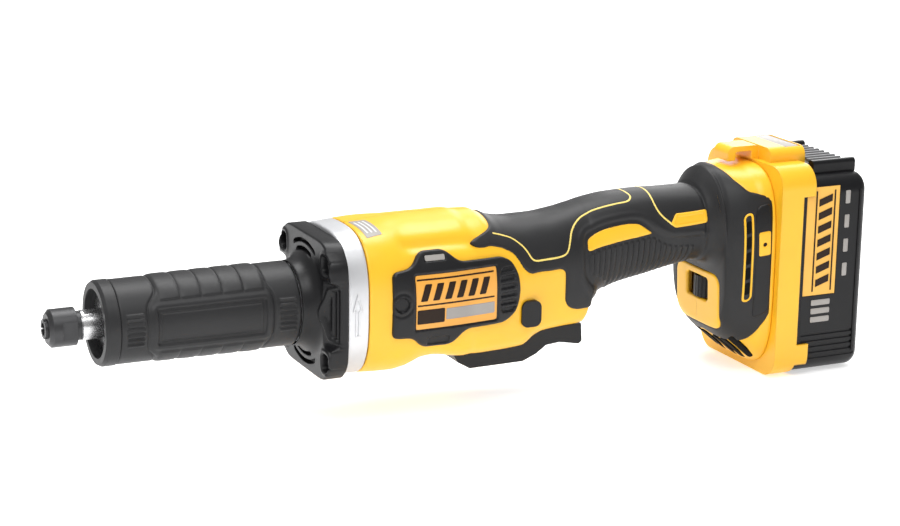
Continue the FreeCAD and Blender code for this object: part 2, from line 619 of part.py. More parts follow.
front = round_box(392.1, 393.9, -PACK_HALF, PACK_HALF, PACK_BOTTOM, PACK_TOP, 9.5, AXIS_X)
for side in (-1, 1):
    rail = fuse([box(387.6, 392.3, 18.6, 22.7, -50, 40), box(383.8, 387.7, 18.6, 26.9, -50, 40)])
    front = fuse([front, rail if side > 0 else mirror_y(rail)])
hump = box(385.6, 392.3, -18.7, 18.7, -50, 3.0).cut(box(387.4, 394.5, -17.0, 17.0, -48, 1.0))
front = fuse([front, hump])
front = front.cut(box(387.4, 394.5, -17.0, 17.0, -48, 1.0))
for y, z in ((-28, POST_LOW), (28, POST_LOW), (28, POST_TOP), (-28, POST_TOP)):
    front = front.cut(rod((390, y, z), (396, y, z), 1.25))
save("pack_front", front)

cells = []
for i in range(5):
    z = CELL_LOW + CELL_PITCH * i
    for x in (403.2, 421.5):
        cells.append(rod((x, -32.5, z), (x, 32.5, z), 9.1))
save("cells", Part.makeCompound(cells))
holders = []
for side in (-1, 1):
    grid = box(394.2, 430.5, 22, 25, -57.0, 36.6)
    for i in range(5):
        for x in (403.2, 421.5):
            z = CELL_LOW + CELL_PITCH * i
            grid = grid.cut(rod((x, 20, z), (x, 27, z), 9.14))
    pieces = sorted(grid.Solids, key=lambda s: -s.Volume)
    for p in pieces:
        holders.append(p if side > 0 else mirror_y(p))
save("cell_holders", Part.makeCompound(holders))
clips = []
socket = box(384.6, 391.6, -16, 16, 4.0, 21.5)
for y in (-12, -4, 4, 12):
    socket = socket.cut(box(384.9, 391.3, y - 1.6, y + 1.6, 6.0, 22))
    for s in (-1, 1):
        clips.append(box(385.4, 390.4, min(y + s * 0.5, y + s * 1.3), max(y + s * 0.5, y + s * 1.3), 6.2, 20.5))
save("pack_socket", socket)
save("pack_contacts", Part.makeCompound(clips))
latch = box(403.9, 429.1, -20.0, 20.0, 40.2, 50.2)
for i in range(7):
    latch = fuse([latch, round_box(407.0, 427.5, -16.2 + 5.0 * i, -13.8 + 5.0 * i, 50.0, 51.8, 0.8, AXIS_X)])
latch = latch.cut(box(406, 427, -18, 18, 39, 48))
save("pack_latch", latch)
save("latch_springs", Part.makeCompound([coil((409.0, y, 36.9), AXIS_Z, 11.0, 2.0, 0.4, 5) for y in (-9, 9)]))
save("gauge_button", rod((431.6, 0, -20), (433.2, 0, -20), 4.0))
labels = []
for side in (-1, 1):
    label = box(395.0, 414.8, 35.15, 35.5, -17.0, 41.0).cut(box(394, 399.4, 35, 36, 36.2, 42))
    labels.append(label if side > 0 else mirror_y(label))
save("pack_labels", Part.makeCompound(labels))
screws = []
for y in (-28, 28):
    screws.append(rod((392.2, y, POST_LOW), (396.8, y, POST_LOW), 1.1))
    screws.append(rod((392.2, y, POST_TOP), (411, y, POST_TOP), 1.1))
save("pack_screws", Part.makeCompound(screws))
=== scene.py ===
"""Cordless die grinder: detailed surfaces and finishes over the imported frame."""

import json
import math

import bmesh
import bpy
import numpy as np
from mathutils import Matrix, Vector


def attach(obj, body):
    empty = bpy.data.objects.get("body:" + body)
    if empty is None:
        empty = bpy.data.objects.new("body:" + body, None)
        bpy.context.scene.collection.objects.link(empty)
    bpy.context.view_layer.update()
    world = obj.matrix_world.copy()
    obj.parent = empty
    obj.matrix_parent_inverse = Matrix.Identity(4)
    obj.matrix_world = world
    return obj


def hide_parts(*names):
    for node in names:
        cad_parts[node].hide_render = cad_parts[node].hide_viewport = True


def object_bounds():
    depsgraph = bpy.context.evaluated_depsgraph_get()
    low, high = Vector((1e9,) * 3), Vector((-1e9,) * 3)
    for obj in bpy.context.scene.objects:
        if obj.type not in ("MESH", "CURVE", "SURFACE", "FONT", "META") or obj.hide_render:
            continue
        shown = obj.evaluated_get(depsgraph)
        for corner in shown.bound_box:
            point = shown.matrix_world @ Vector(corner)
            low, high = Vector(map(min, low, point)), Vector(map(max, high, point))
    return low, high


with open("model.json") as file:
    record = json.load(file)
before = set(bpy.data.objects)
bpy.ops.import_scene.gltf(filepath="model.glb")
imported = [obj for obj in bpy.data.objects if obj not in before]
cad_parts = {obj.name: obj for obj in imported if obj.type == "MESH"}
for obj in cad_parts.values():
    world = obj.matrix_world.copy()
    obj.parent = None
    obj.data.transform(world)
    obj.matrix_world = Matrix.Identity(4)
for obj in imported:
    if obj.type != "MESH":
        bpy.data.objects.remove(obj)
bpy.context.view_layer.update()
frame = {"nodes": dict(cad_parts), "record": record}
MM = 0.001


# ---------------------------------------------------------------- finishes

def node(tree, kind, **values):
    n = tree.nodes.new(kind)
    for key, value in values.items():
        if key in n.inputs:
            n.inputs[key].default_value = value
        else:
            setattr(n, key, value)
    return n


def finish(name, base, rough, metal=0.0, grain=1800.0, bump=0.03, mottle=0.06,
           edge=0.10, bevel=0.35, coat=0.0, spec=0.5, brushed=None):
    """Moulded or machined surface: fine grain, slow colour drift, softened and paler edges."""
    m = bpy.data.materials.new(name)
    m.use_nodes = True
    t = m.node_tree
    t.nodes.clear()
    out = node(t, "ShaderNodeOutputMaterial")
    bsdf = node(t, "ShaderNodeBsdfPrincipled", Metallic=metal)
    bsdf.inputs["Coat Weight"].default_value = coat
    bsdf.inputs["Coat Roughness"].default_value = 0.2
    bsdf.inputs["Specular IOR Level"].default_value = spec
    t.links.new(bsdf.outputs[0], out.inputs[0])
    where = node(t, "ShaderNodeTexCoord")
    spot = where.outputs["Object"]
    if brushed:
        stretch = node(t, "ShaderNodeMapping")
        stretch.inputs["Scale"].default_value = brushed
        t.links.new(spot, stretch.inputs[0])
        spot = stretch.outputs[0]
    fine = node(t, "ShaderNodeTexNoise", Scale=grain, Detail=3.0, Roughness=0.6)
    slow = node(t, "ShaderNodeTexNoise", Scale=38.0, Detail=3.0, Roughness=0.55)
    t.links.new(spot, fine.inputs["Vector"])
    t.links.new(where.outputs["Object"], slow.inputs["Vector"])
    soft = node(t, "ShaderNodeBevel", samples=4, Radius=bevel * MM)
    geometry = node(t, "ShaderNodeNewGeometry")
    turn = node(t, "ShaderNodeVectorMath", operation="DOT_PRODUCT")
    t.links.new(soft.outputs[0], turn.inputs[0])
    t.links.new(geometry.outputs["Normal"], turn.inputs[1])
    worn = node(t, "ShaderNodeMapRange")
    worn.inputs["From Min"].default_value = 0.985
    worn.inputs["From Max"].default_value = 0.80
    worn.inputs["To Max"].default_value = edge
    t.links.new(turn.outputs["Value"], worn.inputs["Value"])
    dark = [c * (1.0 - mottle * 2.2) for c in base]
    pale = [min(1.0, c * 1.35 + 0.05) for c in base]
    drift = node(t, "ShaderNodeMix", data_type="RGBA")
    drift.inputs["A"].default_value = (*dark, 1.0)
    drift.inputs["B"].default_value = (*base, 1.0)
    drift_in = node(t, "ShaderNodeMapRange")
    drift_in.inputs["From Min"].default_value = 0.32
    drift_in.inputs["From Max"].default_value = 0.62
    t.links.new(slow.outputs[0], drift_in.inputs["Value"])
    t.links.new(drift_in.outputs[0], drift.inputs["Factor"])
    rub = node(t, "ShaderNodeMix", data_type="RGBA")
    rub.inputs["B"].default_value = (*pale, 1.0)
    t.links.new(worn.outputs[0], rub.inputs["Factor"])
    t.links.new(drift.outputs["Result"], rub.inputs["A"])
    t.links.new(rub.outputs["Result"], bsdf.inputs["Base Color"])
    gloss = node(t, "ShaderNodeMapRange")
    gloss.inputs["From Min"].default_value = 0.3
    gloss.inputs["From Max"].default_value = 0.7
    gloss.inputs["To Min"].default_value = max(0.04, rough - 0.05)
    gloss.inputs["To Max"].default_value = min(1.0, rough + 0.07)
    t.links.new(fine.outputs[0], gloss.inputs["Value"])
    t.links.new(gloss.outputs[0], bsdf.inputs["Roughness"])
    lump = node(t, "ShaderNodeBump", Strength=bump * 10, Distance=0.00005)
    t.links.new(fine.outputs[0], lump.inputs["Height"])
    t.links.new(soft.outputs[0], lump.inputs["Normal"])
    t.links.new(lump.outputs[0], bsdf.inputs["Normal"])
    return m


YELLOW = finish("yellow_plastic", (0.93, 0.50, 0.020), 0.33, bump=0.02, mottle=0.02, edge=0.08, bevel=0.9)
PALE = finish("pinstripe", (0.86, 0.66, 0.16), 0.42, bump=0.02, mottle=0.03, edge=0.05)
LABEL = finish("pack_film", (0.86, 0.46, 0.07), 0.38, grain=2600.0, bump=0.015, mottle=0.04, edge=0.0)
AMBER = finish("amber_film", (0.82, 0.38, 0.055), 0.36, grain=2600.0, bump=0.015, mottle=0.05, edge=0.0)
RUBBER = finish("black_rubber", (0.016, 0.016, 0.017), 0.46, grain=2400.0, bump=0.06, mottle=0.10,
                edge=0.10, spec=0.32)
GRIP = finish("grip_rubber", (0.018, 0.018, 0.019), 0.46, grain=2200.0, bump=0.07, mottle=0.10, edge=0.14,
              spec=0.34)
BLACK = finish("black_plastic", (0.009, 0.009, 0.010), 0.38, grain=2200.0, bump=0.05, mottle=0.10,
               edge=0.16, bevel=0.6, spec=0.30)
CASE = finish("pack_plastic", (0.006, 0.006, 0.007), 0.34, grain=2200.0, bump=0.05, mottle=0.10, edge=0.16,
              spec=0.26)
# Painted shade: a near-black, low-reflecting colour for thin sheets laid over vent slots, standing in for the
# shade inside the openings.
SLOT_SHADE = finish("painted_slot_shade", (0.004, 0.004, 0.004), 0.70, mottle=0.10, edge=0.02, spec=0.1)
GREY = finish("grey_plastic", (0.14, 0.14, 0.145), 0.46, bump=0.05, mottle=0.06, edge=0.12)
FILM = finish("grey_film", (0.34, 0.32, 0.30), 0.40, bump=0.02, mottle=0.06, edge=0.0)
WHITE_INK = finish("white_ink", (0.70, 0.70, 0.70), 0.45, grain=2600.0, bump=0.01, mottle=0.04, edge=0.0)
INK = finish("brown_ink", (0.020, 0.009, 0.004), 0.45, grain=2600.0, bump=0.01, mottle=0.08, edge=0.0,
             spec=0.2)
SILVER = finish("silver_alloy", (0.66, 0.665, 0.68), 0.40, metal=0.55, bump=0.05, mottle=0.05, edge=0.10)
STEEL = finish("bright_steel", (0.74, 0.74, 0.75), 0.26, metal=1.0, grain=1500.0, bump=0.004, mottle=0.04,
               edge=0.05, bevel=0.1)
OXIDE = finish("black_oxide", (0.050, 0.050, 0.052), 0.40, metal=0.55, bump=0.04, mottle=0.10, edge=0.22)
SPRING = finish("spring_steel", (0.55, 0.55, 0.56), 0.30, metal=1.0, bump=0.02)
COPPER = finish("copper_wire", (0.72, 0.30, 0.13), 0.34, metal=1.0, bump=0.05)
LAMINATION = finish("steel_lamination", (0.30, 0.31, 0.33), 0.42, metal=0.9, bump=0.06)
BOARD = finish("circuit_board", (0.015, 0.16, 0.07), 0.45, bump=0.06, mottle=0.15)
WRAP = finish("cell_wrap", (0.06, 0.25, 0.42), 0.32, bump=0.02)
CONTACT = finish("contact_metal", (0.78, 0.62, 0.34), 0.28, metal=1.0, bump=0.03)
WHITE = finish("pale_floor", (0.88, 0.88, 0.88), 0.85, bump=0.02, mottle=0.004, edge=0.0)
WHITE.node_tree.nodes["Principled BSDF"].inputs["Emission Color"].default_value = (1.0, 1.0, 1.0, 1.0)
WHITE.node_tree.nodes["Principled BSDF"].inputs["Emission Strength"].default_value = 0.55

SLOTS = {
    "yellow_plastic": YELLOW, "black_rubber": RUBBER, "black_plastic": BLACK, "grey_plastic": GREY,
    "amber_label": AMBER, "black_oxide": OXIDE, "bright_steel": STEEL, "silver_alloy": SILVER,
    "lamination": LAMINATION, "copper": COPPER, "board": BOARD, "cell_wrap": WRAP,
    "spring_steel": SPRING, "contact": CONTACT,
}


# ---------------------------------------------------------------- mesh helpers

def add(name, verts, faces, look, body="tool", slot=None, stands=(), angle=38.0):
    """A closed piece from corners in mm and faces, with its normals turned outwards."""
    mesh = bpy.data.meshes.new(name)
    mesh.from_pydata((np.asarray(verts, float) * MM).tolist(), [], [list(map(int, f)) for f in faces])
    work = bmesh.new()
    work.from_mesh(mesh)
    bmesh.ops.remove_doubles(work, verts=work.verts, dist=2e-6)
    bmesh.ops.dissolve_degenerate(work, edges=work.edges, dist=1e-6)
    bmesh.ops.recalc_face_normals(work, faces=work.faces)
    work.to_mesh(mesh)
    work.free()
    mesh.polygons.foreach_set("use_smooth", [True] * len(mesh.polygons))
    mesh.set_sharp_from_angle(angle=math.radians(angle))
    mesh.materials.append(look)
    piece = bpy.data.objects.new(name, mesh)
    bpy.context.scene.collection.objects.link(piece)
    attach(piece, body)
    if stands:
        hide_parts(*stands)
    return piece


def ease(a, b, x):
    t = np.clip((x - a) / (b - a), 0.0, 1.0)
    return t * t * (3 - 2 * t)


def dome(d, r):
    t = np.clip(d / r, 0.0, 1.0)
    return np.sqrt(1.0 - (1.0 - t) ** 2)


def rounded(points, r):
    """The outline with every corner eased over about r."""
    out = []
    n = len(points)
    for i in range(n):
        p, q, s = (np.array(points[(i + k) % n], float) for k in (-1, 0, 1))
        a, b = np.linalg.norm(p - q), np.linalg.norm(s - q)
        u = q + (p - q) / a * min(r, 0.45 * a)
        w = q + (s - q) / b * min(r, 0.45 * b)
        for k in np.linspace(0.0, 1.0, 6):
            out.append((1 - k) ** 2 * u + 2 * k * (1 - k) * q + k * k * w)
    return np.array(out)


def segments_distance(x, v, points, closed):
    p = np.array(points, float)
    q = np.roll(p, -1, axis=0) if closed else p[1:]
    p = p if closed else p[:-1]
    best = np.full(x.shape, 1e9)
    inside = np.zeros(x.shape, bool)
    for (ax, ay), (bx, by) in zip(p, q):
        dx, dy = bx - ax, by - ay
        t = np.clip(((x - ax) * dx + (v - ay) * dy) / (dx * dx + dy * dy + 1e-12), 0.0, 1.0)
        best = np.minimum(best, np.hypot(x - ax - t * dx, v - ay - t * dy))
        if closed:
            crosses = ((ay > v) != (by > v)) & (x < (bx - ax) * (v - ay) / (by - ay + 1e-12) + ax)
            inside ^= crosses
    return best, inside


def area(x, v, points, r=1.5):
    """Signed distance to a rounded outline, positive inside."""
    distance, inside = segments_distance(x, v, rounded(points, r), True)
    return np.where(inside, distance, -distance)


def line(x, v, points, width, r=3.0):
    """Signed distance to a band along an open run of points, positive inside."""
    p = [np.array(q, float) for q in points]
    run = [p[0]]
    for i in range(1, len(p) - 1):
        a, b = np.linalg.norm(p[i - 1] - p[i]), np.linalg.norm(p[i + 1] - p[i])
        u = p[i] + (p[i - 1] - p[i]) / a * min(r, 0.45 * a)
        w = p[i] + (p[i + 1] - p[i]) / b * min(r, 0.45 * b)
        for k in np.linspace(0.0, 1.0, 5):
            run.append((1 - k) ** 2 * u + 2 * k * (1 - k) * p[i] + k * k * w)
    run.append(p[-1])
    return width / 2 - segments_distance(x, v, run, False)[0]


def block(x, v, x0, x1, v0, v1, r=1.0):
    """Signed distance to a rounded rectangle, positive inside."""
    dx = np.abs(x - (x0 + x1) / 2) - (x1 - x0) / 2 + r
    dv = np.abs(v - (v0 + v1) / 2) - (v1 - v0) / 2 + r
    return r - np.hypot(np.maximum(dx, 0), np.maximum(dv, 0)) - np.minimum(np.maximum(dx, dv), 0)


# ---------------------------------------------------------------- the housing's surface

# x, top, bottom, half width, roundness of the upper and of the lower half
BODY = np.array([
    (136.5, 36.4, -34.9, 34.2, 2.9, 2.9), (149.8, 37.5, -35.7, 34.2, 2.9, 2.9),
    (158, 38.2, -36.2, 34.7, 2.8, 2.9), (167, 38.9, -36.4, 34.9, 2.4, 2.9),
    (173, 39.2, -35.8, 34.9, 2.1, 2.8), (178, 39.4, -34.0, 34.9, 2.0, 2.8),
    (183, 39.4, -31.6, 34.8, 2.0, 3.0), (190, 39.4, -30.4, 34.6, 2.0, 3.4),
    (203, 39.6, -32.0, 33.6, 2.0, 4.0), (217, 39.3, -32.8, 32.0, 2.0, 4.2),
    (222, 37.2, -32.8, 31.0, 2.05, 4.2), (229, 34.2, -32.8, 29.5, 2.1, 4.2),
    (239, 32.9, -32.4, 27.0, 2.2, 4.4), (246, 33.0, -28.2, 25.4, 2.2, 4.6),
    (252, 33.1, -26.2, 24.4, 2.2, 4.6), (266, 34.6, -25.4, 22.6, 2.3, 4.6),
    (275, 36.5, -25.2, 21.5, 2.3, 4.4), (277.4, 37.0, -24.2, 21.2, 2.3, 3.6),
    (279.5, 37.5, -19.0, 21.0, 2.3, 2.8), (282.5, 38.1, -14.8, 20.7, 2.3, 2.5),
    (287, 38.9, -11.6, 20.4, 2.3, 2.4), (296, 40.0, -8.0, 19.9, 2.3, 2.4),
    (314, 40.6, -4.6, 19.5, 2.3, 2.4), (332, 40.2, -1.2, 19.5, 2.3, 2.4),
    (344.2, 40.3, 0.4, 20.0, 2.3, 2.5), (346, 42.4, 0.4, 20.9, 2.1, 2.6),
    (348.2, 45.2, 0.2, 22.4, 2.0, 2.8), (350.6, 47.8, -1.0, 24.9, 2.0, 3.0),
    (351.8, 48.9, -4.5, 26.2, 2.05, 3.2), (353.2, 49.6, -33.0, 27.3, 2.1, 3.6),
    (355.6, 50.3, -37.5, 28.8, 2.3, 3.6), (366, 50.8, -47.0, 32.2, 2.9, 3.6),
    (376, 51.0, -55.0, 33.4, 3.4, 3.7), (384, 51.6, -59.2, 34.2, 3.8, 3.9)])
X_START, X_END = 136.9, 378.1
GRID = 0.55


def steady(x, xs, ys):
    """Monotone cubic through the stations."""
    h = np.diff(xs)
    d = np.diff(ys) / h
    m = np.zeros(len(xs))
    m[0], m[-1] = d[0], d[-1]
    for i in range(1, len(xs) - 1):
        if d[i - 1] * d[i] > 0:
            a, b = 2 * h[i] + h[i - 1], h[i] + 2 * h[i - 1]
            m[i] = (a + b) / (a / d[i - 1] + b / d[i])
    k = np.clip(np.searchsorted(xs, x) - 1, 0, len(xs) - 2)
    t = (x - xs[k]) / h[k]
    return ((2 * t**3 - 3 * t**2 + 1) * ys[k] + (t**3 - 2 * t**2 + t) * h[k] * m[k]
            + (3 * t**2 - 2 * t**3) * ys[k + 1] + (t**3 - t**2) * h[k] * m[k + 1])


class Skin:
    """Half of the housing's surface: rows along X at even surface distance, columns round the section."""

    def __init__(self, columns=200):
        x = np.arange(X_START, X_END, 0.01)
        rails = np.array([steady(x, BODY[:, 0], BODY[:, k]) for k in (1, 2, 3)])
        reach = np.concatenate([[0], np.cumsum(np.sqrt(0.01**2 + (np.diff(rails, axis=1) ** 2).max(axis=0)))])
        rows = int(reach[-1] / GRID)
        self.x = np.interp(np.linspace(0, reach[-1], rows), reach, x)
        top, bottom, half, up, down = (steady(self.x, BODY[:, 0], BODY[:, k])[:, None] for k in range(1, 6))
        a = np.linspace(-math.pi / 2, math.pi / 2, 721)[None, :]
        p = np.where(a > 0, up, down)
        c, s = np.abs(np.cos(a)) + 1e-9, np.abs(np.sin(a)) + 1e-9
        r = (c**p + s**p) ** (-1 / p)
        y = half * r * np.cos(a)
        z = (top + bottom) / 2 + (top - bottom) / 2 * r * np.sin(a)
        self.place = np.zeros((rows, columns, 3))
        self.v = np.zeros((rows, columns))
        for i in range(rows):
            along = np.concatenate([[0], np.cumsum(np.hypot(np.diff(y[i]), np.diff(z[i])))])
            even = np.linspace(0, along[-1], columns)
            self.place[i, :, 0] = self.x[i]
            self.place[i, :, 1] = np.interp(even, along, y[i])
            self.place[i, :, 2] = np.interp(even, along, z[i])
            self.v[i] = along[-1] - even
        self.place[:, 0, 1] = self.place[:, -1, 1] = 0.0
        du, dv = np.gradient(self.place, axis=0), np.gradient(self.place, axis=1)
        n = np.cross(dv, du)
        n /= np.linalg.norm(n, axis=2, keepdims=True)
        n *= np.sign((n * (self.place - [0, 0, 5])).sum(axis=2, keepdims=True).mean())
        self.normal = n
        self.rows, self.columns = rows, columns

    def at(self, s, t):
        i = np.clip(np.floor(s).astype(int), 0, self.rows - 2)
        j = np.clip(np.floor(t).astype(int), 0, self.columns - 2)
        a, b = s - i, t - j
        out = []
        for table in (self.place, self.normal, self.v[..., None]):
            w = ((1 - a) * (1 - b))[:, None] * table[i, j] + (a * (1 - b))[:, None] * table[i + 1, j]
            out.append(w + ((1 - a) * b)[:, None] * table[i, j + 1] + (a * b)[:, None] * table[i + 1, j + 1])
        return out[0], out[1], out[2][:, 0]


SKIN = Skin()


def split(spots, value, tris, level, keep_low):
    """Splits triangles along value == level; without keep_low the part below is dropped."""
    value[np.abs(value - level) < 0.05] = level
    g = value[tris] - level
    high, low = (g > 0).sum(axis=1), (g < 0).sum(axis=1)
    whole = (low == 0) & (high > 0)
    if keep_low:
        whole |= high == 0
    crossing = (low > 0) & (high > 0)
    out = [tris[whole]]
    new_spots, new_value, seen, made = [], [], {}, []
    count = len(value)

    def between(a, b):
        key = (a, b) if a < b else (b, a)
        if key not in seen:
            a, b = key
            k = (level - value[a]) / (value[b] - value[a])
            new_spots.append(spots[a] + (spots[b] - spots[a]) * k)
            new_value.append(level)
            seen[key] = count + len(new_spots) - 1
        return seen[key]

    for tri, gg in zip(tris[crossing].tolist(), g[crossing].tolist()):
        ups = [k for k in range(3) if gg[k] > 0]
        downs = [k for k in range(3) if gg[k] < 0]
        if len(ups) + len(downs) == 3:
            lone_up = len(ups) == 1
            k = ups[0] if lone_up else downs[0]
            a, b, c = tri[k], tri[(k + 1) % 3], tri[(k + 2) % 3]
            p, q = between(a, b), between(a, c)
            if lone_up or keep_low:
                made.append((a, p, q))
            if not lone_up or keep_low:
                made += [(p, b, c), (p, c, q)]
        else:
            k = [m for m in range(3) if gg[m] == 0][0]
            a, b, c = tri[k], tri[(k + 1) % 3], tri[(k + 2) % 3]
            p = between(b, c)
            if gg[(k + 1) % 3] > 0 or keep_low:
                made.append((a, b, p))
            if gg[(k + 2) % 3] > 0 or keep_low:
                made.append((a, p, c))
    if made:
        out.append(np.array(made))
        spots = np.vstack([spots, new_spots])
        value = np.concatenate([value, new_value])
    return spots, value, np.vstack(out)


def close(top, bottom, tris):
    """A closed shell from matching upper and lower corners."""
    n = len(top)
    edges = np.vstack([tris[:, [0, 1]], tris[:, [1, 2]], tris[:, [2, 0]]])
    keys = np.sort(edges, axis=1)
    _, index, count = np.unique(keys, axis=0, return_index=True, return_counts=True)
    rim = edges[index[count == 1]]
    walls = np.column_stack([rim[:, 1], rim[:, 0], rim[:, 0] + n, rim[:, 1] + n])
    faces = tris.tolist() + (tris[:, ::-1] + n).tolist() + walls.tolist()
    return np.vstack([top, bottom]), faces


def patch(name, field, height, low, look, x0, x1, levels=(), stride=2, side=-1, seam=None, **more):
    """A piece that lies on the housing's surface inside field > 0, from offset low up to offset height."""
    s0 = int(np.searchsorted(SKIN.x, x0)) - 1
    s1 = int(np.searchsorted(SKIN.x, x1)) + 1
    s = np.arange(max(s0, 0), SKIN.rows, stride, dtype=float)
    s = s[s <= s1] if s1 < SKIN.rows else np.append(s[s < SKIN.rows - 1], SKIN.rows - 1)
    t = np.append(np.arange(0, SKIN.columns - 1, stride, dtype=float), SKIN.columns - 1)
    ss, tt = (g.ravel() for g in np.meshgrid(s, t, indexing="ij"))
    spots = np.column_stack([ss, tt])
    place, _, v = SKIN.at(ss, tt)
    value = field(place[:, 0], v, place[:, 1], place[:, 2])
    if seam is not None:
        arc = SKIN.v[:, 0] / (SKIN.columns - 1)
        value = np.minimum(value,
                           np.minimum(tt, SKIN.columns - 1 - tt) * np.interp(ss, range(SKIN.rows), arc)
                           - seam)
    k = np.arange(len(s) * len(t)).reshape(len(s), len(t))
    a, b, c, d = k[:-1, :-1].ravel(), k[1:, :-1].ravel(), k[1:, 1:].ravel(), k[:-1, 1:].ravel()
    tris = np.vstack([np.column_stack([a, b, c]), np.column_stack([a, c, d])])
    spots, value, tris = split(spots, value, tris, 0.0, False)
    for level in levels:
        spots, value, tris = split(spots, value, tris, level, True)
    used, tris = np.unique(tris, return_inverse=True)
    tris = tris.reshape(-1, 3)
    spots, value = spots[used], value[used]
    place, normal, v = SKIN.at(spots[:, 0], spots[:, 1])
    value = field(place[:, 0], v, place[:, 1], place[:, 2])
    rise = height(place[:, 0], v, place[:, 1], place[:, 2], value) if callable(height) else height
    top = place + normal * (np.zeros(len(place)) + rise)[:, None]
    bottom = place + normal * low
    top[:, 1] *= side
    bottom[:, 1] *= side
    verts, faces = close(top, bottom, tris)
    return add(name, verts, faces, look, **more)


# ---------------------------------------------------------------- outlines
# Points are (x, distance round the section from the top); COVER and ARROW are (x, z).

OVER = [(222.3, -30), (222.3, 13.1), (221.3, 16.9), (218.3, 21.1), (208.8, 26.7), (207.1, 28.2),
        (208.8, 30.0), (211.3, 31.3), (214.8, 31.2), (220.8, 29.4), (226.3, 27.9), (230.4, 28.8),
        (232.8, 31.2), (236.6, 37.2), (240.8, 39.6), (245.3, 38.7), (258.8, 38.2), (261.5, 40.4),
        (261.5, 56.0), (264.3, 59.8), (269.8, 62.0), (278.4, 63.0), (278.6, 200), (357.0, 200),
        (358.2, 126.0), (361.8, 115.5), (366.8, 112.1), (377.0, 98.4), (376.3, 73.7), (376.8, 51.9),
        (377.3, 37.9), (375.3, 34.6), (365.3, 29.1), (360.3, 19.6), (357.6, 7.5), (357.4, -30)]
STRIPE_A = [(221.8, 21.6), (227.3, 20.0), (231.8, 20.6), (235.8, 23.6), (238.8, 26.8), (242.0, 33.1),
            (251.8, 32.2), (259.8, 31.9), (262.9, 30.6), (264.8, 25.5), (266.4, 20.8), (269.6, 16.8),
            (274.2, 13.9), (280.0, 12.7), (291.3, 12.6), (302.4, 12.3), (305.2, 9.0), (304.6, 5.0),
            (303.6, -5.0)]
STRIPE_B = [(316.4, -5.0), (315.9, 8.6), (315.8, 15.5), (316.8, 19.6), (318.9, 22.8), (324.3, 27.4)]
TAB = [(323.4, 27.0), (326.8, 21.8), (344.6, 21.6), (344.8, 28.6), (325.8, 29.2)]
WINDOW = [(275.2, 33.0), (275.2, 26.9), (278.0, 25.3), (284.3, 24.4), (299.3, 24.3), (305.3, 25.1),
          (313.3, 31.1), (304.8, 32.2), (289.8, 33.1)]
RECESS = [(272.6, 26.0), (274.6, 22.6), (284.0, 21.6), (303.0, 21.6), (308.6, 23.6), (315.5, 30.2),
          (323.0, 34.0), (344.0, 35.0), (344.0, 90), (288.0, 90), (284.0, 58.0), (276.0, 50.0),
          (272.8, 44.0)]
RIBBED = [(274.4, 33.9), (294.3, 34.0), (313.6, 32.4), (319.0, 36.2), (326.0, 38.6), (339.0, 39.4),
          (341.4, 90), (293.0, 90), (289.0, 56.0), (283.0, 49.8), (276.6, 45.6), (274.6, 41.0)]
COVER = [(161.4, 18.6), (171.8, 19.6), (178.0, 26.6), (190.5, 26.6), (198.3, 20.2), (222.0, 19.9),
         (228.5, 16.6), (231.8, 10.0), (232.6, 3.0), (232.0, -3.0), (229.5, -9.0), (222.8, -12.9),
         (200.8, -13.1), (193.5, -20.2), (178.0, -20.2), (172.3, -14.6), (161.2, -13.8)]


def panel_area(x, y, z):
    """The raised dial panel on the flare's front wall."""
    return np.minimum(block(y, z, -21.2, 21.2, -35.4, -5.4, 6.0), x - 346.0)


def dial_window(x, y, z):
    return np.minimum(block(y, z, -10.4, 10.4, -21.6, -9.2, 2.0), x - 346.0)


def paddle_slot(x, y, z):
    return np.minimum(block(x, y, 202.0, 278.0, -14.1, 14.1, 1.0), -2.0 - z)


def shell_area(x, v, y, z):
    d = np.minimum(X_END + 0.1 - x, x - 150.1)
    return np.minimum(d, np.minimum(-dial_window(x, y, z), -paddle_slot(x, y, z)))


def shell_rise(x, v, y, z, d):
    under = area(x, v, OVER, 2.2)
    drop = -0.75 * ease(204, 210, x) * (1 - ease(369, 374, x))
    drop = drop - (1.3 + 0.5 * ease(338, 343, x)) * ease(0.8, 1.6, under)
    ledge = -1.6 * np.exp(-((v - 27.5) / 3.6) ** 2) * ease(166, 174, x) * (1 - ease(206, 214, x))
    return drop + ledge - 0.45 * (1 - dome(d, 0.9))


def rubber_area(x, v, y, z):
    d = area(x, v, OVER, 2.2)
    return np.minimum(d, 0.35 - panel_area(x, y, z))


def rubber_rise(x, v, y, z, d):
    sunk = area(x, v, RECESS, 4.0)
    ribs = area(x, v, RIBBED, 2.5)
    rise = -1.3 + 1.3 * dome(d, 1.5) - 0.8 * ease(-0.8, 1.2, sunk) + 0.35 * np.exp(-((sunk + 2.2) / 1.4) ** 2)
    wave = 0.5 - 0.5 * np.cos(2 * math.pi * (x - 276.0) / 3.3)
    rise = rise + (0.75 * np.minimum(1.0, 1.6 * wave) - 0.2) * ease(0.0, 1.2, ribs)
    return rise - 0.5 * np.exp(-((x - 344.4) / 0.7) ** 2)


def proud(low, high, r):
    """A height that rises from low at the outline to high at r inside it."""
    return lambda x, v, y, z, d: low + (high - low) * dome(d, r)


